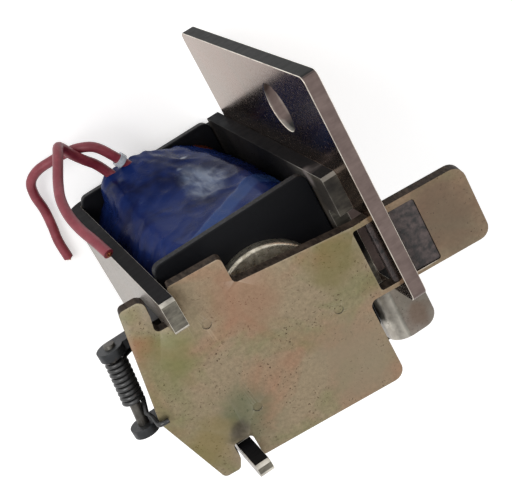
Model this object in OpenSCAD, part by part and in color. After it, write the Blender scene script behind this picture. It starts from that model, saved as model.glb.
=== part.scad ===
// Clapper solenoid: a U-shaped yoke round a coil, and a hinged armature with a blade.
// It lies on the yoke's back wall. Origin: the core's axis on the back face. +Z to the armature.

/* [Yoke] */
// Thickness of every pressed steel piece
sheet = 1.6; // [1.2:0.1:2]
// Width across the outside of the two legs
yoke_width = 21.6; // [20:0.2:26]
// Length from the back face to the front edge of the slotted leg
yoke_length = 38.5; // [32:0.5:47]
// How far both legs reach below the core's axis
leg_down = 12.4; // [11.5:0.1:15]
// How far the hinge leg reaches above the core's axis
hinge_leg_up = 8.8; // [8:0.1:10.5]
// How far the slotted leg reaches above the core's axis
slot_leg_up = 9.9; // [9:0.1:12]
// How far the hinge leg stops short of the slotted leg
hinge_drop = 2.8; // [2.2:0.1:3.5]
// Outside radius of the folds
fold_radius = 2.2; // [2:0.1:3]
// Length of the hinge prongs above the hinge leg
prong_length = 4.9; // [3.5:0.1:6]

/* [Tab] */
// Reach of the bent tab from the slotted leg's outer face
tab_reach = 3.6; // [3:0.1:6]
// Height of the tab along the leg
tab_height = 6.9; // [5:0.1:7]

/* [Face plate] */
// How far the face plate rises above the core's axis
plate_up = 21.2; // [18:0.2:28]
// How far the face plate reaches below the core's axis
plate_down = 4.6; // [4.3:0.1:4.8]
// How far the face plate stands in front of the slotted leg
plate_front = 4.5; // [4.2:0.1:6]
// Distance of the face plate's rear edge from the back face
plate_rear = 4.5; // [3.5:0.1:8]
// Radius of the fixing hole in the face plate
plate_hole_r = 2.8; // [2:0.1:3.2]

/* [Magnet] */
// Radius of the steel core
core_r = 4; // [3:0.1:4.6]
// Radius of the pole disc
pole_r = 6.35; // [5:0.05:7.5]
// Thickness of the pole disc
pole_t = 1.45; // [1.2:0.05:2]
// Thickness of the bobbin's flanges
flange_t = 1.2; // [0.8:0.1:1.8]
// Half height of the bobbin's flanges
flange_half = 9.8; // [9:0.1:11]
// Wall of the bobbin's tube
tube_wall = 0.8; // [0.6:0.1:1.2]
// Thickness of the copper winding
winding_t = 3.5; // [2:0.1:3.7]
// Extra reach of the tape at the coil's corners, at mid length
tape_swell = 0.7; // [0.3:0.1:0.9]

/* [Armature] */
// Angle by which the armature stands open
open_angle = 9.1; // [7:0.1:11]
// Length of the blade beyond the window
blade_length = 5.6; // [4:0.1:12]
// Height of the blade
blade_height = 8.2; // [8:0.1:9]

/* [Return spring] */
// Diameter of the spring's wire
spring_wire = 0.5; // [0.4:0.05:0.6]
// Mean radius of the spring's coil
spring_r = 0.95; // [0.9:0.05:1.05]
// Number of turns
spring_turns = 9; // [6:1:9]
// Lean of the spring and its pin along the armature's tail
spring_lean = 7; // [0:1:8]

/* [Leads] */
// Outside diameter of a lead
lead_d = 1.2; // [1:0.05:1.4]

/* [Clearances] */
// Gap between the armature and the edge it hinges on
hinge_gap = 0.05; // [0.03:0.01:0.1]
// Gap at the sides of prongs, slots and windows
side_gap = 0.2; // [0.15:0.05:0.3]
// Gap between the bobbin and the legs
bobbin_gap = 0.15; // [0.1:0.05:0.3]

/* [Hidden] */
$fn = 64;

steel = "#a59a82";
half_w = yoke_width / 2;
gap_half = half_w - sheet;
hinge_z = yoke_length - hinge_drop;
prong_z = hinge_z + prong_length;
fold_in = fold_radius - sheet;
corner = 0.5;

// the stack inside the yoke, from the back wall to the armature
flange_back = sheet;
pole_gap = 0.15;
pole_front = hinge_z - pole_gap;
flange_front = pole_front - pole_t;
coil_z0 = flange_back + flange_t;
coil_z1 = flange_front - flange_t;
stake_r = core_r - 1;
nose_r = core_r / 2;
core_fit = 0.05;
tube_out = core_r + core_fit + tube_wall;
wrap_t = 0.15;
wind_in = tube_out + wrap_t;
wind_out = wind_in + winding_t;
tape_t = 0.5;
coil_corner = 4.5;
tape_clear = 0.1;

// armature, in its own plane: u runs from the hinge to the blade, v is height above the axis
arm_t = sheet;
prong_gap = 0.1;
notch_right = (sheet + (arm_t + hinge_gap) * sin(open_angle)) / cos(open_angle) + prong_gap + 0.05;
long_prong = 1;
top_prong = 5.25;
low_prong = 1.6 - leg_down;
body_right = yoke_width - 2.95;
window_left = yoke_width - 1.3;
window_right = window_left + 6.8;
blade_right = window_right + blade_length;
window_top = 4.33;
window_low = -2.8;
blade_low = -3.16;
blade_top = blade_low + blade_height;
tail_top = -3.2;
tail_tip = -5.3;
tail_tip_v = -3.6;

// slot through the face plate, and the notches that carry on from it in the slotted leg
slot_low = blade_low - side_gap - 0.05;
slot_top = blade_top + side_gap + 0.05;
slot_rear = hinge_z - 0.35;
slot_front = hinge_z + hinge_gap + (yoke_width + sheet) * sin(open_angle) + arm_t + 0.15;
tab_gap = 0.3;
tab_top = -plate_down - tab_gap;
tab_low = tab_top - tab_height;
tab_face = hinge_z - 0.2;
hole_y = 15.6;
hole_back = 8.4;
rivet_r = 1.5;
rivet_z = [12, 26];
rivet_y = 3;
rivet_head = 0.5;

// spring pin and its bracket
pin_x = -half_w - 6.2;
pin_z = hinge_z - 2.3;
pin_r = 0.6;
ear_r = 1.45;
ear_t = 1;
ear_in = 4;
bracket_t = 1;
bracket_low = hinge_z - 9;
bracket_rivet_z = hinge_z - 6.5;
bracket_rivet_y = 2;
bracket_rivet_r = 1;
turn_pitch = spring_wire + 0.05;

// lead routes, from inside the tape hump to the cut ends
route_a = [[-1.3, 10.06, 11.5], [-1.3, 10.1, 9.6], [-1.4, 10.2, 8], [-1.8, 10.55, 6.9], [-2.4, 11.5, 6.4],
    [-3.4, 13.5, 6.6], [-4.7, 15.4, 6.5], [-6.4, 16.2, 6], [-8, 16.2, 5], [-9.6, 16, 4], [-11.4, 15.6, 3],
    [-12.7, 14.6, 2.2], [-13.1, 12.9, 1.6], [-13, 10.6, 1.2], [-13.2, 8.3, 1], [-13.5, 6.4, 1],
    [-13.5, 3.9, 1]];
route_b = [[-4.1, 10.06, 10.8], [-4.1, 10.1, 9], [-4.1, 10.2, 7.6], [-4.2, 10.55, 6.5], [-4.6, 11.5, 5.8],
    [-5.5, 13.4, 6], [-6.5, 14.8, 6.5], [-7.4, 16.2, 7], [-8, 17.6, 7.6], [-8.5, 18.4, 8.6], [-9, 18, 9.9],
    [-9.9, 17, 11.4], [-10.9, 15.9, 13], [-11.7, 14.8, 15], [-12, 13.4, 17], [-11.8, 12, 19],
    [-11.3, 10.7, 21], [-10.9, 9.45, 22.8]];
core_wire_r = lead_d / 4;
bare_length = 0.4;

// ---- shared shapes ----

function unit(a) = a / norm(a);

// A corner [x, y, r] between its two neighbours, as an arc of 7 points, or itself where r is 0.
function arc_corner(a, p, b) =
    p[2] == 0 ? [[p[0], p[1]]] :
    let (o = [p[0], p[1]],
         ua = unit([a[0], a[1]] - o),
         ub = unit([b[0], b[1]] - o),
         half = acos(ua * ub) / 2,
         centre = o + unit(ua + ub) * p[2] / sin(half),
         start = o + ua * p[2] / tan(half) - centre,
         end = o + ub * p[2] / tan(half) - centre,
         a0 = atan2(start[1], start[0]),
         turn = atan2(end[1], end[0]) - a0,
         sweep = turn > 180 ? turn - 360 : turn < -180 ? turn + 360 : turn)
    [for (i = [0 : 6]) centre + p[2] * [cos(a0 + sweep * i / 6), sin(a0 + sweep * i / 6)]];

function rounded(pts) = [for (i = [0 : len(pts) - 1])
    each arc_corner(pts[(i + len(pts) - 1) % len(pts)], pts[i], pts[(i + 1) % len(pts)])];

// A plate lying in the Y-Z plane, its near face at x. The outline is in [y, z].
module side_plate(x, t) {
    translate([x, 0, 0]) rotate([90, 0, 90]) linear_extrude(t) children();
}

// A bar running along Y from y0 to y1. The outline is in [x, z].
module bar_y(y0, y1) {
    translate([0, y1, 0]) rotate([90, 0, 0]) linear_extrude(y1 - y0) children();
}

module quarter_fold(cx, cz, side_x, side_z) {
    translate([cx, cz]) intersection() {
        difference() {
            circle(fold_radius);
            circle(fold_in);
        }
        translate([side_x > 0 ? 0 : -fold_radius, side_z > 0 ? 0 : -fold_radius])
            square(fold_radius);
    }
}

// A round-sided tube swept along a list of points, with flat ends.
function tangents(p) = [for (i = [0 : len(p) - 1])
    unit(p[min(i + 1, len(p) - 1)] - p[max(i - 1, 0)])];
function square_to(t, v) = unit(v - (v * t) * t);
function frames(t, i, v) = i == len(t) ? [] : let (n = square_to(t[i], v)) concat([n], frames(t, i + 1, n));

module sweep(p, r, sides) {
    t = tangents(p);
    first = abs(t[0][2]) < 0.9 ? [0, 0, 1] : [1, 0, 0];
    n = frames(t, 0, first);
    rings = [for (i = [0 : len(p) - 1]) for (k = [0 : sides - 1])
        p[i] + r * (cos(360 * k / sides) * n[i] + sin(360 * k / sides) * cross(t[i], n[i]))];
    walls = [for (i = [0 : len(p) - 2]) for (k = [0 : sides - 1])
        let (a = i * sides + k, b = i * sides + (k + 1) % sides)
        each [[a, a + sides, b + sides], [a, b + sides, b]]];
    last = (len(p) - 1) * sides;
    start_cap = [for (k = [1 : sides - 2]) [0, k, k + 1]];
    end_cap = [for (k = [1 : sides - 2]) [last, last + k + 1, last + k]];
    polyhedron(rings, concat(walls, start_cap, end_cap));
}

// A rivet along X from x0 to x1 with a low head on its left or right end.
module rivet(x0, x1, y, z, r, head_at_start) {
    translate([x0, y, z]) rotate([0, 90, 0]) cylinder(h = x1 - x0, r = r);
    translate([head_at_start ? x0 - rivet_head : x1, y, z]) rotate([0, 90, 0])
        cylinder(h = rivet_head, r = 1.5 * r);
}

// ---- frame ----

module yoke_back() {
    bar_y(-leg_down, hinge_leg_up) {
        translate([-half_w + fold_radius, 0]) square([yoke_width - 2 * fold_radius, sheet]);
        quarter_fold(-half_w + fold_radius, fold_radius, -1, -1);
        quarter_fold(half_w - fold_radius, fold_radius, 1, -1);
    }
}

module hinge_leg() {
    side_plate(-half_w, sheet) polygon(rounded([
        [-leg_down, fold_radius, 0], [hinge_leg_up, fold_radius, 0],
        [hinge_leg_up, prong_z, corner], [top_prong, prong_z, corner],
        [top_prong, hinge_z, 0], [low_prong, hinge_z, 0],
        [low_prong, prong_z + long_prong, corner], [-leg_down, prong_z + long_prong, 0.8]]));
}

module slotted_leg() {
    side_plate(gap_half, sheet) polygon(rounded([
        [-leg_down, fold_radius, 0], [slot_leg_up, fold_radius, 0],
        [slot_leg_up, yoke_length, corner], [slot_top + 0.2, yoke_length, 0],
        [slot_top + 0.2, slot_rear, 0.3], [-plate_down, slot_rear, 0],
        [-plate_down, tab_face - fold_radius - 1, 0], [tab_top, tab_face - fold_radius - 1, 0],
        [tab_top, tab_face - fold_radius, 0], [tab_low, tab_face - fold_radius, 0],
        [tab_low, tab_face - fold_radius - 1, 0], [-leg_down, tab_face - fold_radius - 1, 0]]));
}

module tab() {
    fold_x = gap_half + fold_radius;
    bar_y(tab_low, tab_low + tab_height) quarter_fold(fold_x, tab_face - fold_radius, -1, 1);
    translate([0, 0, tab_face - sheet]) linear_extrude(sheet) polygon(rounded([
        [fold_x, tab_low, 0], [half_w + tab_reach, tab_low, 1.5],
        [half_w + tab_reach, tab_low + tab_height, 0.8], [fold_x, tab_low + tab_height, 0]]));
}

module yoke() {
    color(steel) difference() {
        union() {
            yoke_back();
            hinge_leg();
            slotted_leg();
            tab();
        }
        translate([0, 0, -1]) cylinder(h = sheet + 2, r = stake_r);
        for (z = rivet_z) translate([0, rivet_y, z]) rotate([0, 90, 0]) cylinder(h = half_w + 1, r = rivet_r);
        for (y = [-bracket_rivet_y, bracket_rivet_y])
            translate([-half_w - 1, y, bracket_rivet_z]) rotate([0, 90, 0])
                cylinder(h = sheet + 2, r = bracket_rivet_r);
    }
}

module face_plate() {
    color("#85756f") difference() {
        side_plate(half_w, sheet) difference() {
            polygon(rounded([
                [-plate_down, plate_rear, corner], [plate_up, plate_rear, 1],
                [plate_up, yoke_length + plate_front, 0.8], [-plate_down, yoke_length + plate_front, 0.8]]));
            polygon(rounded([
                [slot_low, slot_rear, 0.3], [slot_top, slot_rear, 0.3],
                [slot_top, slot_front, 0.3], [slot_low, slot_front, 0.3]]));
        }
        translate([half_w - 1, hole_y, yoke_length - hole_back]) rotate([0, 90, 0])
            cylinder(h = sheet + 2, r = plate_hole_r);
        for (z = rivet_z) translate([half_w - 1, rivet_y, z]) rotate([0, 90, 0])
            cylinder(h = sheet + 2, r = rivet_r);
    }
}

module plate_rivets() {
    color("#8f8a80") for (z = rivet_z) rivet(gap_half, half_w + sheet, rivet_y, z, rivet_r, false);
}

// ---- magnet ----

module core() {
    color("#77736c") {
        cylinder(h = sheet, r = stake_r);
        translate([0, 0, sheet]) cylinder(h = flange_front - sheet, r = core_r);
        translate([0, 0, flange_front]) cylinder(h = pole_t, r = nose_r);
    }
}

module pole_disc() {
    rim = 0.35;
    color("#a39c8c") translate([0, 0, flange_front]) rotate_extrude() polygon(concat(
        [[nose_r, 0], [pole_r, 0]],
        [for (a = [0 : 15 : 90]) [pole_r - rim + rim * cos(a), pole_t - rim + rim * sin(a)]],
        [[nose_r, pole_t]]));
}

module flange(z) {
    translate([0, 0, z]) linear_extrude(flange_t) difference() {
        polygon(rounded([for (s = [[-1, -1], [1, -1], [1, 1], [-1, 1]])
            [s[0] * (gap_half - bobbin_gap), s[1] * flange_half, 1]]));
        circle(core_r + core_fit);
    }
}

// The corner that the rear flange gives up to the inside of each fold.
module fold_relief() {
    relief = fold_in + core_fit;
    for (s = [-1, 1]) bar_y(-leg_down, flange_half + 1) polygon([
        [s * (gap_half - relief), flange_back - 1], [s * (gap_half - relief), flange_back],
        [s * gap_half, flange_back + relief], [s * gap_half, flange_back - 1]]);
}

module bobbin() {
    color("#15171c") difference() {
        union() {
            flange(flange_back);
            flange(flange_front - flange_t);
            translate([0, 0, coil_z0]) linear_extrude(coil_z1 - coil_z0) difference() {
                circle(tube_out);
                circle(core_r + core_fit);
            }
        }
        fold_relief();
    }
}

module ring(r0, r1) {
    translate([0, 0, coil_z0]) linear_extrude(coil_z1 - coil_z0) difference() {
        circle(r1);
        circle(r0);
    }
}

module core_wrap() {
    color("#c8b88a") ring(tube_out, wind_in);
}

// A square with round corners, as the coil's outline.
module coil_outline(half_x, half_y, r) {
    polygon(rounded([for (s = [[-1, -1], [1, -1], [1, 1], [-1, 1]]) [s[0] * half_x, s[1] * half_y, r]]));
}

module winding() {
    color("#9a4a22") translate([0, 0, coil_z0]) linear_extrude(coil_z1 - coil_z0) difference() {
        coil_outline(wind_out, wind_out, coil_corner - tape_t);
        circle(wind_in);
    }
}

// The tape's outer form: square-shouldered, pressed flat by the legs, and swollen at mid length.
module tape_form(extra) {
    span = coil_z1 - coil_z0;
    half_x = gap_half - tape_clear + extra;
    half_y = wind_out + tape_t + 0.4 + extra;
    diagonal = norm([half_x, half_y]) - coil_corner * (sqrt(2) - 1);
    intersection() {
        rotate_extrude() polygon(concat(
            [[0, coil_z0]],
            [for (i = [0 : 8]) [diagonal - tape_swell * (1 - sin(i * 180 / 8)), coil_z0 + span * i / 8]],
            [[0, coil_z1]]));
        translate([0, 0, coil_z0]) linear_extrude(span) coil_outline(half_x, half_y, coil_corner);
    }
}

module coil_tape() {
    color("#28458a") difference() {
        tape_form(0);
        translate([0, 0, coil_z0 - 1]) linear_extrude(coil_z1 - coil_z0 + 2)
            coil_outline(wind_out, wind_out, coil_corner - tape_t);
    }
}

// ---- leads ----

module hump_form(grow) {
    back_r = 1.9 + grow;
    front_r = 1.5 + grow;
    hull() {
        for (x = [-4.3, -0.6]) {
            translate([x, 9.8, 5.2]) sphere(r = back_r, $fn = 28);
            translate([x, 9.6, 12.4]) sphere(r = front_r, $fn = 28);
        }
    }
}

module lead_hole(p, q) {
    d = q - p;
    translate(p) rotate([0, acos(d[2] / norm(d)), atan2(d[1], d[0])])
        translate([0, 0, -0.6]) cylinder(h = norm(d) + 1.4, r = lead_d / 2 + 0.03);
}

module lead_wrap() {
    color("#2c4a92") difference() {
        hump_form(0);
        tape_form(0.02);
        hump_form(-0.4);
        for (i = [3, 4]) {
            lead_hole(route_a[i], route_a[i + 1]);
            lead_hole(route_b[i], route_b[i + 1]);
        }
    }
}

module lead_splices() {
    color("#b9b9b5") for (p = [route_a[0], route_b[0]])
        translate(p) cylinder(h = 0.9, r = core_wire_r);
}

module lead_wire_a() {
    color("#782d37") sweep(route_a, lead_d / 2, 8);
}

module lead_wire_b() {
    color("#782d37") sweep(route_b, lead_d / 2, 8);
}

module lead_cores() {
    color("#b8703a") for (r = [route_a, route_b]) {
        n = len(r) - 1;
        d = unit(r[n] - r[n - 1]);
        translate(r[n]) rotate([0, acos(d[2]), atan2(d[1], d[0])]) cylinder(h = bare_length, r = core_wire_r);
    }
}

module lead_sleeve() {
    d = unit(route_a[5] - route_a[4]);
    color("#c9ccc8") translate(route_a[4] + 0.8 * d) rotate([0, acos(d[2]), atan2(d[1], d[0])])
        difference() {
            cylinder(h = 0.7, r = lead_d / 2 + 0.25);
            translate([0, 0, -1]) cylinder(h = 3, r = lead_d / 2 + 0.03);
        }
}

// ---- hinge side ----

function ear_x(y) = pin_x + y * tan(spring_lean);

// Turns a shape about the middle of the pin, so that it leans along the armature's tail.
module leaning() {
    translate([pin_x, 0, pin_z]) rotate([0, 0, -spring_lean]) translate([-pin_x, 0, -pin_z]) children();
}

module bracket_half(side) {
    ear_out = ear_in + ear_t;
    tip = ear_x(side * (ear_in + ear_t / 2));
    intersection() {
        translate([0, 0, bracket_low]) linear_extrude(hinge_z - bracket_low)
            polygon(rounded([for (p = [
                [-half_w, 0, 0], [-half_w, ear_out, 0],
                [tip - ear_r - 0.2, ear_out, 0.3], [tip - ear_r - 0.2, ear_in, 0.3],
                [-half_w - bracket_t, ear_in, 0.5], [-half_w - bracket_t, 0, 0]])
                [p[0], side * p[1], p[2]]]));
        bar_y(-ear_out, ear_out) union() {
            translate([tip, pin_z]) circle(ear_r);
            translate([tip, pin_z - ear_r]) square([-half_w - tip, ear_r + 0.5]);
            translate([-half_w - bracket_t - 1.2, bracket_low])
                square([bracket_t + 1.2, pin_z - bracket_low + 0.5]);
        }
    }
}

module spring_bracket() {
    color("#3a3d3c") difference() {
        union() {
            bracket_half(1);
            bracket_half(-1);
        }
        leaning() translate([pin_x, 10, pin_z]) rotate([90, 0, 0]) cylinder(h = 20, r = pin_r);
        for (y = [-bracket_rivet_y, bracket_rivet_y])
            translate([-half_w - bracket_t - 2, y, bracket_rivet_z]) rotate([0, 90, 0])
                cylinder(h = bracket_t + 3, r = bracket_rivet_r);
    }
}

module bracket_rivets() {
    color("#8f8a80") for (y = [-bracket_rivet_y, bracket_rivet_y])
        rivet(-half_w - bracket_t, -gap_half, y, bracket_rivet_z, bracket_rivet_r, true);
}

module spring_pin() {
    end = ear_in + ear_t + 0.4;
    color("#6f6f6b") leaning() translate([pin_x, end, pin_z]) rotate([90, 0, 0])
        cylinder(h = 2 * end, r = pin_r);
}

// Surface of the armature's front face above the plane Z = 0, at a place x.
function arm_front(x) = hinge_z + (x + half_w) * tan(open_angle) + (arm_t + hinge_gap) / cos(open_angle);

// A point of the spring's coil: a along the lean, r and angle round the pin.
function coil_point(a, angle) = [
    pin_x + spring_r * cos(angle) * cos(spring_lean) + a * sin(spring_lean),
    a * cos(spring_lean) - spring_r * cos(angle) * sin(spring_lean),
    pin_z + spring_r * sin(angle)];

function spring_path() =
    let (a0 = ear_in - 0.5,
         a1 = a0 - turn_pitch * spring_turns,
         steps = 16,
         turns = [for (i = [0 : spring_turns * steps])
             coil_point(a0 - turn_pitch * i / steps, 360 * i / steps)],
         edge_x = -half_w + tail_tip - spring_wire / 2 - 0.12,
         rest_x = -half_w - bracket_t - 0.35,
         over = arm_front(-half_w + tail_tip + 1) + spring_wire / 2 + 0.03)
    concat(
        [[rest_x, a0 - 0.1, pin_z - 2.7], [rest_x - 0.05, a0 - 0.1, pin_z - 2]],
        turns,
        [[ear_x(a1) + spring_r * 0.9, a1 - 0.45, pin_z + 0.35],
         [edge_x - 0.3, tail_tip_v + 0.7, pin_z + 0.8],
         [edge_x, tail_tip_v + 0.2, pin_z + 1.5],
         [edge_x, tail_tip_v + 0.1, over - 0.45],
         [edge_x + 0.15, tail_tip_v + 0.1, over - 0.1],
         [edge_x + 0.5, tail_tip_v + 0.1, over],
         [edge_x + 1.1, tail_tip_v + 0.1, over + 0.04]]);

module return_spring() {
    color("#8a8a86") sweep(spring_path(), spring_wire / 2, 8);
}

// ---- armature ----

module in_armature() {
    translate([-half_w, 0, hinge_z]) rotate([0, -open_angle, 0]) translate([0, 0, hinge_gap]) children();
}

module armature_outline() {
    difference() {
        polygon(rounded([
            [tail_top, 8.9, 0.6], [-0.55, 8.9, 0.8], [-0.7, 7, 0.8], [-1.1, top_prong - prong_gap, 0.5],
            [notch_right, top_prong - prong_gap, 0.3], [notch_right, 8.8, 0.3],
            [7.9, 8.8, 0.5], [7.9, 5.75, 0.5],
            [window_left + 0.4, 4.8, 1], [window_left + 3.4, blade_top, 1], [blade_right, blade_top, 1.3],
            [blade_right, blade_low, 1.3], [body_right, blade_low - 0.1, 0.8],
            [body_right, -leg_down, 1.3], [notch_right, -leg_down, 0.3],
            [notch_right, low_prong + 1.1, 0.4], [-0.2, low_prong + 1.1, 0.4],
            [-0.15, 1 - leg_down, 0.6], [-0.7, -leg_down - 0.1, 0.5],
            [-2.5, -leg_down - 0.1, 0.6],
            [tail_tip, tail_tip_v, 0.3]]));
        polygon(rounded([
            [window_left, window_low, 0.3], [window_right, window_low, 0.3],
            [window_right, window_top, 0.3], [window_left, window_top, 0.3]]));
    }
}

dimples = [[3.62, 3.34], [3.89, -7.27], [yoke_width - 5.95, -2.23]];

module armature() {
    pit_r = 0.5;
    pit_deep = 0.15;
    color("#a5967d") in_armature() difference() {
        union() {
            linear_extrude(arm_t) armature_outline();
            for (d = dimples) translate([d[0], d[1], -0.02]) cylinder(h = 0.5, r1 = 0.35, r2 = 0.5);
        }
        for (d = dimples) translate([d[0], d[1], arm_t - pit_deep]) cylinder(h = 1, r = pit_r);
    }
}

module buffer_pad() {
    pad_left = yoke_width + side_gap;
    color("#2f2a2b") in_armature() translate([0, 0, -0.25]) linear_extrude(arm_t + 0.15) polygon(rounded([
        [pad_left, window_low, 0.3], [window_right, window_low, 0.3],
        [window_right, window_top, 0.3], [pad_left, window_top, 0.3]]));
}

yoke();
face_plate();
plate_rivets();
core();
pole_disc();
bobbin();
core_wrap();
winding();
coil_tape();
lead_wrap();
lead_splices();
lead_wire_a();
lead_wire_b();
lead_cores();
lead_sleeve();
spring_bracket();
bracket_rivets();
spring_pin();
return_spring();
armature();
buffer_pad();
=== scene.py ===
"""Clapper solenoid: camera, leads, finishes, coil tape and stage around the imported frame."""

import math

import bmesh
import bpy
from mathutils import Matrix, Vector, noise


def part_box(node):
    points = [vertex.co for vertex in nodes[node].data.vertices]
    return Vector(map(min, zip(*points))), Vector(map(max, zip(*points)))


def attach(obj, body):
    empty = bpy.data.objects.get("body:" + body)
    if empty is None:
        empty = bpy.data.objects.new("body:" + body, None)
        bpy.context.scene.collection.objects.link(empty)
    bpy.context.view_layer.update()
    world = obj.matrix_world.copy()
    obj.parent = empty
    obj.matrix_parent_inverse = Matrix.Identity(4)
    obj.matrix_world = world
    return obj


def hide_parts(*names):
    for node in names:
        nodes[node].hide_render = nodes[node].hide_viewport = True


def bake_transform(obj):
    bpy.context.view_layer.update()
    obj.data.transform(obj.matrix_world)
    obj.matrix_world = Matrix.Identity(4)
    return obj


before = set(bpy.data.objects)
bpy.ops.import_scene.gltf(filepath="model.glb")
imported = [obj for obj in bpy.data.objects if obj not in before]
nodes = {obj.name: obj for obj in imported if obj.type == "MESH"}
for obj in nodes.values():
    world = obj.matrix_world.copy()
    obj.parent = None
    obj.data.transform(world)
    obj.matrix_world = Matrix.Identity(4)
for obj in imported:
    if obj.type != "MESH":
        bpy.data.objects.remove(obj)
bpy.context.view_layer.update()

MM = 0.001
# How far the armature stands open at rest.
OPEN_ANGLE = math.radians(9.1)

tape_lo, tape_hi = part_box("coil_tape")


# ---- camera ----


def make_camera():
    """A short telephoto view from above the hinge side, rolled as the part lies."""
    data = bpy.data.cameras.new("camera")
    data.lens = 99.43
    data.sensor_width = 36
    data.clip_start, data.clip_end = 0.01, 20
    camera = bpy.data.objects.new("camera", data)
    bpy.context.scene.collection.objects.link(camera)
    right = Vector((0.82923, -0.44525, 0.33784))
    up = Vector((0.5347, 0.8080, -0.2474))
    turn = Matrix((right, up, right.cross(up))).transposed()
    place = Vector((-0.022006, 0.060084, 0.162515))
    camera.matrix_world = Matrix.Translation(place) @ turn.to_4x4()
    bpy.context.scene.camera = camera


make_camera()


# ---- leads ----

LEAD_R = 0.6 * MM
# Centre lines from inside the tape to the cut ends, in millimetres.
ROUTE_A = [(-1.3, 10.06, 11.5), (-1.3, 10.1, 9.6), (-1.4, 10.2, 8), (-1.8, 10.55, 6.9), (-2.4, 11.5, 6.4),
           (-3.4, 13.5, 6.6), (-4.7, 15.4, 6.5), (-6.4, 16.2, 6), (-8, 16.2, 5), (-9.6, 16, 4),
           (-11.4, 15.6, 3), (-12.7, 14.6, 2.2), (-13.1, 12.9, 1.6), (-13, 10.6, 1.2), (-13.2, 8.3, 1),
           (-13.5, 6.4, 1), (-13.5, 3.9, 1)]
ROUTE_B = [(-4.1, 10.06, 10.8), (-4.1, 10.1, 9), (-4.1, 10.2, 7.6), (-4.2, 10.55, 6.5), (-4.6, 11.5, 5.8),
           (-5.5, 13.4, 6), (-6.5, 14.8, 6.5), (-7.4, 16.2, 7), (-8, 17.5, 7.6), (-8.45, 18.2, 8.6),
           (-9, 17.9, 9.9), (-9.9, 17, 11.4), (-10.9, 15.9, 13), (-11.7, 14.8, 15), (-12, 13.4, 17),
           (-11.8, 12, 19), (-11.3, 10.7, 21), (-10.9, 9.45, 22.8)]


def make_lead(name, route, cad_node):
    """One cut lead: a round curve through the route's points, whose radius each point carries."""
    curve = bpy.data.curves.new(name, "CURVE")
    curve.dimensions = "3D"
    curve.bevel_depth = 1
    curve.bevel_resolution = 6
    curve.resolution_u = 8
    curve.use_fill_caps = True
    spline = curve.splines.new("BEZIER")
    spline.bezier_points.add(len(route) - 1)
    places = [Vector(place) * MM for place in route]
    for k, point in enumerate(spline.bezier_points):
        before, after = places[max(k - 1, 0)], places[min(k + 1, len(places) - 1)]
        along = (after - before).normalized() / 3
        point.handle_left_type = point.handle_right_type = "FREE"
        point.co = places[k]
        point.radius = LEAD_R
        point.handle_left = places[k] - along * (places[k] - before).length
        point.handle_right = places[k] + along * (after - places[k]).length
    piece = bpy.data.objects.new(name, curve)
    bpy.context.scene.collection.objects.link(piece)
    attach(piece, "frame")
    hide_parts(cad_node)
    return piece


lead_a = make_lead("lead_a", ROUTE_A, "lead_wire_a")
lead_b = make_lead("lead_b", ROUTE_B, "lead_wire_b")


def new_piece(name, shape, body, replaced=()):
    """Turns a bmesh into a piece that rides on a body."""
    mesh = bpy.data.meshes.new(name)
    shape.to_mesh(mesh)
    shape.free()
    piece = bpy.data.objects.new(name, mesh)
    bpy.context.scene.collection.objects.link(piece)
    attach(piece, body)
    if replaced:
        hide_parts(*replaced)
    return piece


def bare_strands(name, route):
    """Copper strands, six round one, that stand a little out of a lead's cut end."""
    strand_r, strand_length, sunk, around = 0.1 * MM, 0.35 * MM, 0.02 * MM, 6
    end = Vector(route[-1]) * MM
    along = (Vector(route[-1]) - Vector(route[-2])).normalized()
    turn = along.to_track_quat("Z", "Y").to_matrix().to_4x4()
    shape = bmesh.new()
    for k in range(around + 1):
        angle, out = math.radians(360 / around * k + 11), 0 if k == around else 2 * strand_r
        reach = strand_length * (0.7 + 0.3 * math.sin(2.3 * k))
        made = bmesh.ops.create_cone(shape, cap_ends=True, segments=12, radius1=strand_r,
                                     radius2=0.8 * strand_r, depth=reach)
        bmesh.ops.translate(shape, verts=made["verts"],
                            vec=(out * math.cos(angle), out * math.sin(angle), reach / 2 - sunk))
    bmesh.ops.transform(shape, matrix=Matrix.Translation(end) @ turn, verts=shape.verts)
    return new_piece(name, shape, "frame", ("lead_cores",))


strands_a = bare_strands("strands_a", ROUTE_A)
strands_b = bare_strands("strands_b", ROUTE_B)


# ---- node helpers ----


def put(tree, kind, sockets=None, **settings):
    """Adds a shader node; a socket's value is a number, a colour or another node's output."""
    made = tree.nodes.new("ShaderNode" + kind)
    for key, value in settings.items():
        setattr(made, key, value)
    for key, value in (sockets or {}).items():
        if isinstance(value, bpy.types.NodeSocket):
            tree.links.new(value, made.inputs[key])
        else:
            made.inputs[key].default_value = value
    return made


def linear(r, g, b):
    """A colour given as it looks, from 0 to 255, made linear."""
    def one(c):
        c /= 255
        return c / 12.92 if c <= 0.04045 else ((c + 0.055) / 1.055) ** 2.4
    return (one(r), one(g), one(b), 1)


def maths(tree, operation, a, b=0.0, clamp=False):
    return put(tree, "Math", {0: a, 1: b}, operation=operation, use_clamp=clamp).outputs[0]


def mixed(tree, share, a, b, blend="MIX"):
    """Colour a turned towards colour b by a share."""
    return put(tree, "Mix", {0: share, 6: a, 7: b}, data_type="RGBA", blend_type=blend).outputs[2]


def ramp(tree, value, low, high, to_low=0.0, to_high=1.0):
    return put(tree, "MapRange", {0: value, 1: low, 2: high, 3: to_low, 4: to_high}).outputs[0]


def cloud(tree, place, scale, detail=3.0, roughness=0.55, distortion=0.0):
    return put(tree, "TexNoise", {"Vector": place, "Scale": scale, "Detail": detail,
                                  "Roughness": roughness, "Distortion": distortion}).outputs[0]


def object_place(tree):
    return put(tree, "TexCoord").outputs["Object"]


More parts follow.
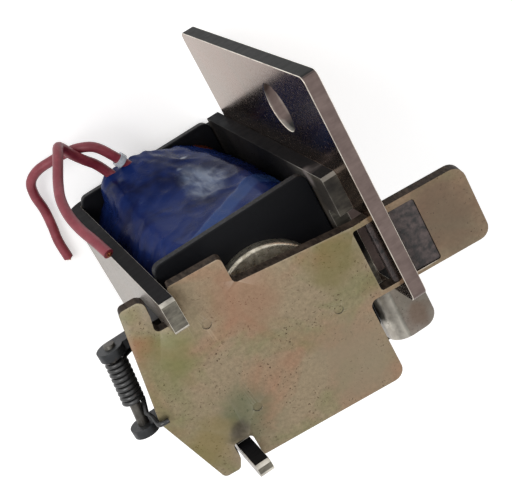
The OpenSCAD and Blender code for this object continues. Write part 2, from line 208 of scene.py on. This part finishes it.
def mapped(tree, place, location=(0, 0, 0), rotation=(0, 0, 0), scale=(1, 1, 1)):
    return put(tree, "Mapping", {"Vector": place, "Location": location, "Rotation": rotation,
                                 "Scale": scale}).outputs[0]


def new_group(name, inputs, outputs):
    tree = bpy.data.node_groups.new(name, "ShaderNodeTree")
    for label, default in inputs.items():
        kind = "NodeSocketColor" if isinstance(default, tuple) else "NodeSocketFloat"
        tree.interface.new_socket(label, in_out="INPUT", socket_type=kind).default_value = default
    for label in outputs:
        kind = "NodeSocketColor" if label == "Color" else "NodeSocketFloat"
        tree.interface.new_socket(label, in_out="OUTPUT", socket_type=kind)
    return tree, tree.nodes.new("NodeGroupInput").outputs, tree.nodes.new("NodeGroupOutput").inputs


def use_group(tree, group, values):
    made = tree.nodes.new("ShaderNodeGroup")
    made.node_tree = group
    for key, value in values.items():
        if isinstance(value, bpy.types.NodeSocket):
            tree.links.new(value, made.inputs[key])
        else:
            made.inputs[key].default_value = value
    return made.outputs


def new_material(name):
    material = bpy.data.materials.new(name)
    material.use_nodes = True
    material.node_tree.nodes.clear()
    return material, material.node_tree


def finish_material(tree, sockets, height=None, bump=0.3, depth=0.05):
    """Closes a material with one Principled shader, and a bump from a height."""
    shader = put(tree, "BsdfPrincipled", sockets)
    if height is not None:
        raised = put(tree, "Bump", {"Height": height, "Strength": bump, "Distance": depth * MM})
        tree.links.new(raised.outputs[0], shader.inputs["Normal"])
    out = tree.nodes.new("ShaderNodeOutputMaterial")
    tree.links.new(shader.outputs[0], out.inputs[0])
    return shader


# ---- shared surface effects ----


def make_plating():
    """Zinc plating on sheet: broad stains, fine mottling and dark pits."""
    tree, given, result = new_group(
        "plating",
        {"Base": (0.5, 0.5, 0.5, 1), "Warm": (0.5, 0.5, 0.5, 1), "Cool": (0.5, 0.5, 0.5, 1),
         "Stain Scale": 110.0, "Warm Share": 0.6, "Cool Share": 0.5, "Pits": 0.6, "Roughness": 0.4},
        ("Color", "Roughness", "Height"))
    place = object_place(tree)
    broad = cloud(tree, place, given["Stain Scale"], 3, 0.6, 0.5)
    other = cloud(tree, mapped(tree, place, (0.07, 0.13, 0.05)), given["Stain Scale"], 3, 0.6, 0.8)
    warm = maths(tree, "MULTIPLY", ramp(tree, broad, 0.47, 0.66), given["Warm Share"])
    cool = maths(tree, "MULTIPLY", ramp(tree, other, 0.5, 0.68), given["Cool Share"])
    colour = mixed(tree, warm, given["Base"], given["Warm"])
    colour = mixed(tree, cool, colour, given["Cool"])
    grain = cloud(tree, place, 2600, 4, 0.7)
    shade = ramp(tree, grain, 0.3, 0.7, 0.8, 1.15)
    grey = put(tree, "CombineColor", {0: shade, 1: shade, 2: shade}).outputs[0]
    colour = mixed(tree, 1.0, colour, grey, "MULTIPLY")
    pit = ramp(tree, cloud(tree, mapped(tree, place, (0.3, 0.1, 0.2)), 4200, 2, 0.5), 0.62, 0.7)
    sparse = ramp(tree, cloud(tree, place, 420, 2, 0.5), 0.4, 0.62)
    pit = maths(tree, "MULTIPLY", maths(tree, "MULTIPLY", pit, sparse), given["Pits"])
    colour = mixed(tree, pit, colour, linear(72, 54, 44))
    tree.links.new(colour, result["Color"])
    rough = maths(tree, "ADD", given["Roughness"], ramp(tree, grain, 0.3, 0.7, -0.07, 0.09))
    tree.links.new(maths(tree, "ADD", rough, maths(tree, "MULTIPLY", pit, 0.25)), result["Roughness"])
    fine = cloud(tree, place, 9000, 2, 0.6)
    height = maths(tree, "ADD", maths(tree, "MULTIPLY", grain, 0.6), maths(tree, "MULTIPLY", fine, 0.25))
    tree.links.new(maths(tree, "SUBTRACT", height, pit), result["Height"])
    return tree


def make_shear():
    """The cut edge of stamped sheet: a burnished band, a torn band and score lines."""
    tree, given, result = new_group(
        "shear", {"Bright": (0.6, 0.6, 0.6, 1), "Dark": (0.2, 0.2, 0.2, 1), "Along": (0.0, 0.0, 0.0, 1)},
        ("Color", "Roughness", "Height"))
    lines = cloud(tree, given["Along"], 1.0, 3, 0.65)
    torn = cloud(tree, object_place(tree), 900, 3, 0.6)
    both = maths(tree, "ADD", maths(tree, "MULTIPLY", lines, 0.6), maths(tree, "MULTIPLY", torn, 0.4))
    share = ramp(tree, both, 0.4, 0.62)
    tree.links.new(mixed(tree, share, given["Dark"], given["Bright"]), result["Color"])
    tree.links.new(ramp(tree, torn, 0.3, 0.7, 0.28, 0.5), result["Roughness"])
    tree.links.new(lines, result["Height"])
    return tree


plating = make_plating()
shear = make_shear()


# ---- finishes ----


def surface_normal(tree):
    return put(tree, "TexCoord").outputs["Normal"]


def facing(tree, direction):
    """How squarely a face looks along a direction, either way: 1 is square on."""
    dot = put(tree, "VectorMath", {0: surface_normal(tree), 1: direction}, operation="DOT_PRODUCT")
    return maths(tree, "ABSOLUTE", dot.outputs["Value"])


def edges_and_rim(tree, direction):
    """Masks of a flat sheet's cut edges, and of the rounded rims between them and its faces."""
    square = facing(tree, direction)
    rim = maths(tree, "MULTIPLY", ramp(tree, square, 0.08, 0.3), ramp(tree, square, 0.95, 0.995, 1, 0))
    return ramp(tree, square, 0.3, 0.6, 1, 0), rim


def spot(tree, place, centre, radius):
    """A soft round patch: 1 at its centre, 0 past its radius, in millimetres."""
    off = put(tree, "VectorMath", {0: place, 1: [c * MM for c in centre]}, operation="DISTANCE")
    return put(tree, "MapRange", {0: off.outputs["Value"], 1: 0.25 * radius * MM, 2: radius * MM, 3: 1.0,
                                  4: 0.0}, interpolation_type="SMOOTHSTEP").outputs[0]


def wavering(tree, amount):
    """Object coordinates with a cloudy shift, so that patches get ragged outlines."""
    place = object_place(tree)
    shift = put(tree, "TexNoise", {"Vector": place, "Scale": 260.0, "Detail": 3.0}).outputs["Color"]
    centred = put(tree, "VectorMath", {0: shift, 1: (0.5, 0.5, 0.5)}, operation="SUBTRACT").outputs[0]
    scaled = put(tree, "VectorMath", {0: centred, 3: amount * MM}, operation="SCALE").outputs[0]
    return put(tree, "VectorMath", {0: place, 1: scaled}, operation="ADD").outputs[0]


# The colour of the painted highlight along the rounded rims of cut edges.
PAINTED_RIM_HIGHLIGHT = linear(232, 226, 214)


def sheet_steel(name, plated, side, front, masks, through, stains=(), painted_light_spots=(), far=None, metal=0.75,
                bump=0.25):
    """Plated sheet with bare sheared edges.

    side, front and far are the bright and dark colours of the edges that look sideways, forwards
    and towards -Y: lit and shaded copies of one cut edge, so that its light and shade is painted by
    the way it faces. masks builds the edge and rim masks, and through stretches the score lines.
    Stains, and spots of painted shade and painted highlight that lie over the edges too, are each a
    place, a radius, a colour and a share."""
    material, tree = new_material(name)
    face = use_group(tree, plating, plated)
    colour = face["Color"]
    place = wavering(tree, 5)
    for centre, radius, tint, share in stains:
        patch = maths(tree, "MULTIPLY", spot(tree, place, centre, radius), share)
        colour = mixed(tree, patch, colour, mixed(tree, 0.25, tint, face["Color"]))
    looks = put(tree, "SeparateXYZ", {0: surface_normal(tree)}).outputs
    ahead, away = ramp(tree, looks[2], 0.4, 0.8), ramp(tree, looks[1], -0.6, -0.2, 1, 0)
    far = far or side
    along = mapped(tree, object_place(tree), scale=through)
    # Painted light and shade on the cut edges: darker colours for those that look sideways, lighter ones for
    # those that look forwards and towards -Y.
    cut = use_group(tree, shear, {"Bright": mixed(tree, ahead, mixed(tree, away, side[0], far[0]), front[0]),
                                  "Dark": mixed(tree, ahead, mixed(tree, away, side[1], far[1]), front[1]),
                                  "Along": along})
    edge, rim = masks(tree)
    # A painted highlight along the rounded rims, broken up by a cloud.
    highlight_breakup = ramp(tree, cloud(tree, object_place(tree), 600, 3, 0.6), 0.3, 0.6, 0.35, 1)
    rim_highlight_share = maths(tree, "MULTIPLY", rim, highlight_breakup)
    colour = mixed(tree, edge, colour, cut["Color"])
    colour = mixed(tree, maths(tree, "MULTIPLY", rim_highlight_share, 0.85), colour, PAINTED_RIM_HIGHLIGHT)
    dull = maths(tree, "MULTIPLY", edge, maths(tree, "SUBTRACT", 1.0, away))
    shine = maths(tree, "MULTIPLY", maths(tree, "SUBTRACT", 1.0, dull), metal)
    # Spots of painted shade, and a painted highlight, laid over the edges too; they also take the metal's
    # shine away.
    for centre, radius, tint, share in painted_light_spots:
        patch = maths(tree, "MULTIPLY", spot(tree, place, centre, radius), share)
        colour = mixed(tree, patch, colour, tint)
        shine = maths(tree, "MULTIPLY", shine, maths(tree, "SUBTRACT", 1.0, patch))
    rough = put(tree, "Mix", {0: edge, 2: face["Roughness"], 3: cut["Roughness"]}).outputs[0]
    height = put(tree, "Mix", {0: edge, 2: face["Height"], 3: cut["Height"]}).outputs[0]
    finish_material(tree, {"Base Color": colour, "Metallic": shine, "Roughness": rough,
                           "Specular IOR Level": 0.01}, height, bump, 0.03)
    return material


# Stains in the armature's plating, and a small near-black patch above the lower notch: place, radius, colour
# and share.
STAINS = (
    ((-14.6, 4.5, 36.6), 3.2, linear(150, 100, 74), 0.75), ((-12, 2.5, 37.2), 4.2, linear(112, 112, 70), 0.8),
    ((-3.5, 4, 38.5), 5.5, linear(146, 108, 88), 0.7), ((6.5, 3, 40), 4.5, linear(112, 106, 64), 0.85),
    ((-8.5, -7.5, 37.7), 4.6, linear(88, 100, 76), 0.8), ((-13.2, -8.5, 37), 4, linear(124, 112, 66), 0.75),
    ((4, -8, 39.6), 6.5, linear(138, 126, 106), 0.9), ((-9.9, -9.4, 37.5), 1.7, linear(36, 30, 27), 0.85),
    ((17.5, 1, 42), 7.5, linear(99, 86, 74), 1.0))

ARMATURE_UP = (-math.sin(OPEN_ANGLE), 0, math.cos(OPEN_ANGLE))
# Past this X the yoke is its bent tab, and below this Z it is its back wall.
LEG_OUTSIDE, WALL_ROOM = 10.95 * MM, 5 * MM


# The yoke's tab is darker over a broad patch, and darker and browner at its fold.
TAB_PATCHES = (
    ((14, -8, 35.5), 5.5, linear(108, 102, 93), 1.0), ((12.2, -10, 35), 2.2, linear(96, 70, 52), 0.7))

# Painted shade round the slot and along the slotted leg, and a painted highlight at its front corner.
LEG_PAINTED_SHADE_AND_HIGHLIGHT = (
    ((10, 1, 35), 4.6, linear(24, 22, 21), 0.95), ((10.2, -8.5, 33), 2.5, linear(28, 25, 24), 0.9),
    ((9, 8, 6), 9, linear(14, 15, 18), 0.95), ((9, 8, 16), 13, linear(14, 15, 18), 0.95),
    ((9, 8, 25), 12, linear(14, 15, 18), 0.95), ((10, 8, 36.5), 5, linear(34, 34, 35), 0.85),
    ((9.3, 9.9, 34.5), 2, linear(140, 132, 130), 0.8))


def yoke_masks(tree):
    """The yoke's cut edges look along Y, and forward at the legs' ends."""
    normal = put(tree, "SeparateXYZ", {0: surface_normal(tree)}).outputs
    place = put(tree, "SeparateXYZ", {0: object_place(tree)}).outputs
    sides = maths(tree, "ABSOLUTE", normal[1])
    not_tab = maths(tree, "LESS_THAN", place[0], LEG_OUTSIDE)
    on_legs = maths(tree, "MULTIPLY", not_tab, maths(tree, "GREATER_THAN", place[2], WALL_ROOM))
    ends = maths(tree, "MULTIPLY", normal[2], on_legs)
    either = maths(tree, "MAXIMUM", sides, ends)
    rim = maths(tree, "MULTIPLY", ramp(tree, either, 0.12, 0.35), ramp(tree, either, 0.93, 0.99, 1, 0))
    return ramp(tree, either, 0.6, 0.85), rim


armature_steel = sheet_steel(
    "armature_steel",
    {"Base": linear(146, 131, 108), "Warm": linear(152, 119, 97), "Cool": linear(118, 121, 84),
     "Stain Scale": 130.0, "Warm Share": 0.8, "Cool Share": 0.6, "Pits": 1.0, "Roughness": 0.4},
    (linear(78, 68, 60), linear(44, 38, 34)), (linear(128, 119, 106), linear(76, 68, 60)),
    lambda tree: edges_and_rim(tree, ARMATURE_UP), (3000, 3000, 700), stains=STAINS,
    far=(linear(120, 108, 92), linear(72, 63, 54)))
zinc_steel = sheet_steel(
    "zinc_steel",
    {"Base": linear(141, 133, 125), "Warm": linear(136, 118, 102), "Cool": linear(116, 116, 102),
     "Stain Scale": 90.0, "Warm Share": 0.5, "Cool Share": 0.4, "Pits": 0.5, "Roughness": 0.32},
    # The yoke's sideways cut edges are near-black: painted shade.
    (linear(34, 33, 34), linear(26, 26, 27)), (linear(128, 124, 112), linear(84, 80, 74)),
    yoke_masks, (300, 1500, 1500), far=(linear(126, 119, 110), linear(82, 77, 70)),
    stains=TAB_PATCHES, painted_light_spots=LEG_PAINTED_SHADE_AND_HIGHLIGHT)
plate_steel = sheet_steel(
    "plate_steel",
    {"Base": linear(150, 126, 111), "Warm": linear(146, 116, 96), "Cool": linear(130, 124, 108),
     "Stain Scale": 70.0, "Warm Share": 0.4, "Cool Share": 0.3, "Pits": 0.0, "Roughness": 0.2},
    (linear(60, 60, 59), linear(48, 48, 48)), (linear(124, 109, 104), linear(108, 94, 90)),
    lambda tree: edges_and_rim(tree, (1, 0, 0)), (300, 1200, 1200),
    far=(linear(118, 106, 98), linear(84, 76, 70)), metal=1.0, bump=0.01)


def bare_steel(name, base, stain, roughness, scale=300.0, metal=0.85, bump=0.25):
    """Small steel pieces with no sheared edge."""
    material, tree = new_material(name)
    face = use_group(tree, plating, {"Base": base, "Warm": stain, "Cool": stain, "Stain Scale": scale,
                                     "Warm Share": 0.7, "Cool Share": 0.5, "Pits": 0.5,
                                     "Roughness": roughness})
    finish_material(tree, {"Base Color": face["Color"], "Metallic": metal,
                           "Roughness": face["Roughness"]}, face["Height"], bump, 0.03)
    return material


rivet_steel = bare_steel("rivet_steel", linear(145, 140, 130), linear(104, 96, 86), 0.35)
core_iron = bare_steel("core_iron", linear(122, 117, 110), linear(92, 86, 79), 0.4)
disc_steel = bare_steel("disc_steel", linear(214, 207, 190), linear(150, 142, 124), 0.3, 1100.0, bump=0.5)
dark_steel = bare_steel("dark_steel", linear(50, 52, 54), linear(31, 31, 33), 0.42, metal=0.6)
pin_steel = bare_steel("pin_steel", linear(92, 89, 84), linear(64, 61, 56), 0.38)
spring_steel = bare_steel("spring_steel", linear(76, 76, 76), linear(56, 56, 56), 0.36)
solder = bare_steel("solder", linear(190, 190, 186), linear(150, 150, 146), 0.3)


def make_nylon():
    material, tree = new_material("black_nylon")
    place = object_place(tree)
    grain = cloud(tree, place, 3500, 3, 0.6)
    scuffs = ramp(tree, cloud(tree, mapped(tree, place, scale=(1, 1, 6)), 260, 4, 0.7, 0.6), 0.58, 0.75)
    colour = mixed(tree, maths(tree, "MULTIPLY", scuffs, 0.3), linear(9, 10, 14), linear(34, 37, 44))
    rough = ramp(tree, grain, 0.3, 0.7, 0.42, 0.6)
    finish_material(tree, {"Base Color": colour, "Roughness": rough, "Specular IOR Level": 0.15},
                    grain, 0.25, 0.02)
    return material


def make_plain(name, base, other, scale, roughness, metal=0.0, bump=0.2, depth=0.02, **more):
    """Small or hidden pieces: two close colours in a fine cloud."""
    material, tree = new_material(name)
    grain = cloud(tree, object_place(tree), scale, 3, 0.6)
    colour = mixed(tree, ramp(tree, grain, 0.35, 0.65), base, other)
    rough = ramp(tree, grain, 0.3, 0.7, roughness - 0.06, roughness + 0.08)
    finish_material(tree, {"Base Color": colour, "Metallic": metal, "Roughness": rough, **more},
                    grain, bump, depth)
    return material


black_nylon = make_nylon()
paper = make_plain("paper", linear(205, 190, 150), linear(180, 160, 118), 900, 0.8)
copper_enamel = make_plain("copper_enamel", linear(170, 80, 40), linear(130, 55, 26), 1500, 0.3, 0.9)
copper_wire = make_plain("copper_wire", linear(190, 120, 80), linear(120, 66, 44), 2500, 0.35, 0.9)
rubber = make_plain("rubber", linear(78, 66, 64), linear(16, 14, 14), 1500, 0.42, bump=1.0, depth=0.12)
clear_sleeve = make_plain("clear_sleeve", linear(215, 222, 225), linear(170, 180, 190), 1200, 0.2)


def make_pvc():
    """Soft red insulation, dusty in broad patches and darker in fine flecks."""
    material, tree = new_material("lead_pvc")
    place = object_place(tree)
    dust = ramp(tree, cloud(tree, place, 500, 4, 0.65, 0.4), 0.4, 0.7)
    fine = cloud(tree, place, 4200, 3, 0.6)
    colour = mixed(tree, dust, linear(122, 40, 52), linear(146, 62, 73))
    colour = mixed(tree, ramp(tree, fine, 0.62, 0.75, 0, 0.4), colour, linear(84, 26, 36))
    rough = ramp(tree, fine, 0.3, 0.7, 0.32, 0.5)
    finish_material(tree, {"Base Color": colour, "Roughness": rough, "Subsurface Weight": 0.12,
                           "Subsurface Radius": (0.9 * MM, 0.3 * MM, 0.3 * MM)}, fine, 0.2, 0.02)
    return material


lead_pvc = make_pvc()


# Where the outer turn of tape ends: a straight lap across the coil, in x and z.
LAP_START = Vector((3.8, 26.2)) * MM
LAP_END = Vector((-7.05, 34.06)) * MM
lap_line = LAP_START - LAP_END
lap_across = Vector((-lap_line.y, lap_line.x)).normalized()


# Small glints on the tape's upper side, in x and z.
GLINTS = (1.3, 13.3), (3.2, 10.4), (-4.5, 15.8), (1, 31.2)


def make_tape():
    """Glossy blue film: deeper where layers part, with a painted highlight along the lap, and a streaked
    patch and small glints of painted glare that are glossier too.
    """
    material, tree = new_material("blue_tape")
    place = object_place(tree)
    broad = cloud(tree, place, 150, 3, 0.55, 0.7)
    colour = mixed(tree, ramp(tree, broad, 0.4, 0.62), linear(14, 23, 60), linear(24, 42, 96))
    cut = put(tree, "VectorMath", {0: place, 1: (lap_across.x, 0, lap_across.y)},
              operation="DOT_PRODUCT").outputs["Value"]
    lap = lap_across.dot(LAP_START)
    # A painted highlight along the lap strip; the lap's step itself is in the mesh.
    lap_highlight = maths(tree, "MULTIPLY", ramp(tree, cut, lap, lap + 0.1 * MM),
                  ramp(tree, cut, lap + 2.4 * MM, lap + 2.9 * MM, 1, 0))
    colour = mixed(tree, maths(tree, "MULTIPLY", lap_highlight, 0.55), colour, linear(54, 82, 136))
    cell = put(tree, "TexVoronoi", {"Vector": place, "Scale": 420.0}, feature="F1").outputs[0]
    facet = cloud(tree, place, 700, 4, 0.6, 1.2)
    rough = ramp(tree, facet, 0.3, 0.7, 0.16, 0.3)
    height = maths(tree, "ADD", maths(tree, "MULTIPLY", facet, 0.7), maths(tree, "MULTIPLY", cell, 0.5))
    stretched = mapped(tree, wavering(tree, 3), scale=(1, 0.4, 0.42))
    # Streaks across the glare patch, which break up its painted highlight and its gloss.
    crease = ramp(tree, cloud(tree, mapped(tree, place, rotation=(0, 0.6, 0), scale=(1, 1, 0.25)), 1300, 2,
                              0.5, 0.3), 0.32, 0.62, 0.25, 1)
    gloss_and_glare = maths(tree, "MULTIPLY", spot(tree, stretched, (2.1, 3.8, 7.9), 2.9), crease)
    for x, z in GLINTS:
        gloss_and_glare = maths(tree, "MAXIMUM", gloss_and_glare, spot(tree, wavering(tree, 4), (x, 9.7, z), 0.8))
    # Painted glare: the patch and the glints pale the film's colour here, and the coat below makes them
    # glossy.
    colour = mixed(tree, maths(tree, "MULTIPLY", gloss_and_glare, 0.55), colour, linear(120, 140, 168))
    finish_material(tree, {"Base Color": colour, "Roughness": rough, "Specular IOR Level": 0.015,
                           "Coat Weight": maths(tree, "MULTIPLY", gloss_and_glare, 0.5), "Coat Roughness": 0.1},
                    height, 0.35, 0.15)
    return material


blue_tape = make_tape()

for node, material in {
    "yoke": zinc_steel, "face_plate": plate_steel, "plate_rivets": rivet_steel, "core": core_iron,
    "pole_disc": disc_steel, "bobbin": black_nylon, "core_wrap": paper, "winding": copper_enamel,
    "coil_tape": blue_tape, "lead_wrap": blue_tape, "lead_splices": solder, "lead_wire_a": lead_pvc,
    "lead_wire_b": lead_pvc, "lead_cores": copper_wire, "lead_sleeve": clear_sleeve,
    "spring_bracket": dark_steel, "bracket_rivets": rivet_steel, "spring_pin": pin_steel,
    "return_spring": spring_steel, "armature": armature_steel, "buffer_pad": rubber,
}.items():
    nodes[node].data.materials.clear()
    nodes[node].data.materials.append(material)
for piece in (lead_a, lead_b):
    piece.data.materials.append(lead_pvc)
for piece in (strands_a, strands_b):
    piece.data.materials.append(copper_wire)


# ---- softened edges on the pressed parts ----

# The width of each piece's softened edge, in millimetres.
EDGES = {"yoke": 0.18, "face_plate": 0.18, "armature": 0.2, "bobbin": 0.15, "spring_bracket": 0.1,
         "buffer_pad": 0.12, "plate_rivets": 0.1, "bracket_rivets": 0.1, "spring_pin": 0.1}


def ease(node, width, segments=3, angle=32):
    """Rounds a CAD node's hard edges by a small width."""
    weld = nodes[node].modifiers.new("weld", "WELD")
    weld.merge_threshold = 0.002 * MM
    flat = nodes[node].modifiers.new("flat", "DECIMATE")
    flat.decimate_type = "DISSOLVE"
    flat.angle_limit = math.radians(0.5)
    bevel = nodes[node].modifiers.new("bevel", "BEVEL")
    bevel.width = width * MM
    bevel.segments = segments
    bevel.limit_method = "ANGLE"
    bevel.angle_limit = math.radians(angle)
    bevel.harden_normals = True


for node, width in EDGES.items():
    ease(node, width)


# ---- coil tape ----

TAPE_CORNER = 4.5 * MM
# Extra reach at the corners at mid length, how far the tape sags at one corner, and its film.
SWELL, SLACK, FILM = 0.7 * MM, 0.3 * MM, 0.15 * MM
# Where the leads leave the lump, in x and z.
EXIT_A, EXIT_B = Vector((-2.35, 6.42)) * MM, Vector((-4.55, 5.85)) * MM


def smooth(low, high, value):
    t = max(0.0, min(1.0, (value - low) / (high - low)))
    return t * t * (3 - 2 * t)


def square_outline(share, half_x, half_y, r):
    """A point, and the outward direction there, at a share of the way round a round-cornered square."""
    runs = (2 * (half_y - r), math.pi * r / 2, 2 * (half_x - r), math.pi * r / 2)
    left = (share % 1.0) * 2 * sum(runs)
    for side in range(4):
        for kind in (0, 1):
            run = runs[kind if side % 2 == 0 else (2 if kind == 0 else 3)]
            if left <= run:
                turn = Matrix.Rotation(math.pi / 2 * side, 2)
                a, b = (half_x, half_y) if side % 2 == 0 else (half_y, half_x)
                if kind == 0:
                    return turn @ Vector((a, left - (b - r))), turn @ Vector((1, 0))
                out = Vector((math.cos(left / r), math.sin(left / r)))
                return turn @ (Vector((a - r, b - r)) + r * out), turn @ out
            left -= run
    return Vector((half_x, 0)), Vector((1, 0))


def tape_rise(place):
    """How far the tape stands off its plain form at a place on it, in metres."""
    x, y, z = place / MM
    upper = smooth(7.5, 9.0, y)
    ridge = 1 - abs(noise.noise(Vector((x * 0.33, y * 0.4, z * 0.2)) + Vector((3, 1, 7)))) * 2
    crease = noise.noise(Vector((x * 0.9, y * 0.9, z * 0.33)) + Vector((9, 4, 2)))
    rise = -0.12 + 0.1 * max(0, ridge) ** 3 + 0.07 * crease
    over_lap = (Vector((x, z)) * MM - LAP_START).dot(lap_across) / MM
    rise += 0.1 * smooth(0, 0.22, over_lap) * upper
    if upper > 0:
        across = smooth(-7.6, -4.6, x) * (1 - smooth(-1.2, 5.5, x))
        along = smooth(2.8, 4.6, z) * (1 - smooth(9, 21, z))
        lump = (2.2 - 0.06 * (z - 5)) * across * along
        folds = 0.16 * noise.noise(Vector((x * 1.1, 0, z * 0.45)) + Vector((5, 5, 5)))
        rise += upper * (lump + folds * min(1, lump * 1.5 + 0.15))
        for mouth in (EXIT_A, EXIT_B):
            near = (Vector((x, z)) - mouth / MM).length
            rise += upper * 0.2 * math.exp(-((near - 0.75) / 0.28) ** 2)
    return rise * MM


def wound_tape():
    """The taped coil: a round-cornered tube, swollen at mid length, with a lump over the splices."""
    columns, rows = 240, 96
    low, high = tape_lo.z, tape_hi.z
    half_x, half_y = tape_hi.x, tape_hi.y
    reach = math.hypot(half_x, half_y) - TAPE_CORNER * (math.sqrt(2) - 1)
    shape = bmesh.new()
    bmesh.ops.create_cone(shape, cap_ends=False, segments=columns, radius1=1, radius2=1, depth=2)
    upright = [e for e in shape.edges if abs(e.verts[0].co.z - e.verts[1].co.z) > 1]
    bmesh.ops.subdivide_edges(shape, edges=upright, cuts=rows, use_grid_fill=True)
    for vert in shape.verts:
        share = math.atan2(vert.co.y, vert.co.x) / (2 * math.pi)
        up = (vert.co.z + 1) / 2
        point, out = square_outline(share, half_x, half_y, TAPE_CORNER)
        slack = SLACK * smooth(0.55, 1, math.sin(2 * math.pi * share)) * (1 - smooth(0.35, 0.8, up))
        limit = reach - SWELL * (1 - math.sin(math.pi * up)) - (slack if point.x > 0 else 0)
        point *= min(1, limit / point.length)
        place = Vector((point.x, point.y, low + (high - low) * up))
        rise = tape_rise(place)
        vert.co = place + Vector((out.x, out.y, 0)) * rise
    bmesh.ops.recalc_face_normals(shape, faces=shape.faces)
    for face in shape.faces:
        face.smooth = True
    bmesh.ops.solidify(shape, geom=shape.faces[:], thickness=FILM)
    piece = new_piece("tape_wrapping", shape, "frame", ("coil_tape", "lead_wrap"))
    piece.data.materials.append(blue_tape)
    return piece


wound_tape()


# ---- return spring ----

# The middle of the pin in millimetres, and the pin's lean along the armature's tail.
PIN = Vector((-17.0, 0, 33.4))
LEAN = math.radians(7)
COIL_R, WIRE_R, PITCH, TURNS = 0.95, 0.27, 0.55, 9


def coil_point(along, angle):
    """A point of the coil, along the leaning pin and round it, in millimetres."""
    out = COIL_R * math.cos(angle)
    return PIN + Vector((out * math.cos(LEAN) + along * math.sin(LEAN),
                         along * math.cos(LEAN) - out * math.sin(LEAN), COIL_R * math.sin(angle)))


def make_spring():
    """A close-wound torsion spring; its long arm hooks over the armature's tail and follows it."""
    start, steps = 3.5, 24
    hook_x, hook_y, rest_x = -16.47, -3.5, -12.15
    route = [Vector((rest_x, start - 0.1, 30.7)), Vector((rest_x - 0.05, start - 0.1, 31.4))]
    route += [coil_point(start - PITCH * k / steps, 2 * math.pi * k / steps)
              for k in range(TURNS * steps + 1)]
    route += [Vector((hook_x - 0.3, hook_y + 0.6, 34.2)), Vector((hook_x, hook_y + 0.1, 34.9)),
              Vector((hook_x, hook_y, 36.5)), Vector((hook_x + 0.15, hook_y, 36.86)),
              Vector((hook_x + 0.5, hook_y, 36.96)), Vector((hook_x + 1.1, hook_y, 37.0))]
    curve = bpy.data.curves.new("spring_line", "CURVE")
    curve.dimensions = "3D"
    curve.bevel_depth = WIRE_R * MM
    curve.bevel_resolution = 4
    curve.use_fill_caps = True
    spline = curve.splines.new("POLY")
    spline.points.add(len(route) - 1)
    for point, place in zip(spline.points, route):
        point.co = (*(place * MM), 1)
    line = bpy.data.objects.new("spring_line", curve)
    shape = bmesh.new()
    shape.from_mesh(bpy.data.meshes.new_from_object(line))
    bpy.data.objects.remove(line)
    bmesh.ops.remove_doubles(shape, verts=shape.verts, dist=0.001 * MM)
    bmesh.ops.recalc_face_normals(shape, faces=shape.faces)
    for face in shape.faces:
        face.smooth = len(face.verts) == 4
    mesh = bpy.data.meshes.new("torsion_spring")
    shape.to_mesh(mesh)
    shape.free()
    piece = bpy.data.objects.new("torsion_spring", mesh)
    bpy.context.scene.collection.objects.link(piece)
    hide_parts("return_spring")
    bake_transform(piece)
    piece.data.materials.append(spring_steel)


make_spring()


# ---- stage ----


def make_stage():
    """A white floor that the camera sees as white, shadows kept, and a white surround."""
    shape = bmesh.new()
    bmesh.ops.create_circle(shape, cap_ends=True, segments=96, radius=3)
    mesh = bpy.data.meshes.new("floor")
    shape.to_mesh(mesh)
    shape.free()
    floor = bpy.data.objects.new("floor", mesh)
    floor.location.z = -0.02 * MM
    bpy.context.scene.collection.objects.link(floor)
    material, tree = new_material("floor_white")
    rays = put(tree, "LightPath").outputs
    seen = maths(tree, "MAXIMUM", rays["Is Camera Ray"],
                 maths(tree, "MAXIMUM", rays["Is Glossy Ray"], rays["Is Transmission Ray"]))
    glow = maths(tree, "MULTIPLY", seen, 0.45)
    shader = put(tree, "BsdfPrincipled", {"Base Color": (0.85, 0.85, 0.85, 1), "Roughness": 0.9,
                                          "Emission Color": (1, 1, 1, 1), "Emission Strength": glow})
    out = tree.nodes.new("ShaderNodeOutputMaterial")
    tree.links.new(shader.outputs[0], out.inputs[0])
    mesh.materials.append(material)

    world = bpy.data.worlds.new("studio")
    world.use_nodes = True
    tree = world.node_tree
    tree.nodes.clear()
    rays = put(tree, "LightPath").outputs
    seen = maths(tree, "MAXIMUM", rays["Is Camera Ray"],
                 maths(tree, "MAXIMUM", rays["Is Glossy Ray"], rays["Is Transmission Ray"]))
    strength = put(tree, "Mix", {0: seen, 2: 0.56, 3: 1.0}).outputs[0]
    sky = put(tree, "Background", {"Color": (1, 1, 1, 1), "Strength": strength})
    out = tree.nodes.new("ShaderNodeOutputWorld")
    tree.links.new(sky.outputs[0], out.inputs[0])
    bpy.context.scene.world = world


def area_lamp(name, place, size, power):
    data = bpy.data.lights.new(name, "AREA")
    data.shape = "DISK"
    data.size = size
    data.energy = power
    lamp = bpy.data.objects.new(name, data)
    lamp.location = place
    lamp.rotation_euler = (Vector((0, 0, 0.02)) - Vector(place)).to_track_quat("-Z", "Y").to_euler()
    bpy.context.scene.collection.objects.link(lamp)


make_stage()
area_lamp("key", (-0.35, 0.2, 0.45), 0.35, 1.6)
area_lamp("fill", (0.4, -0.1, 0.35), 0.3, 0.5)

scene = bpy.context.scene
scene.view_settings.view_transform = "Standard"
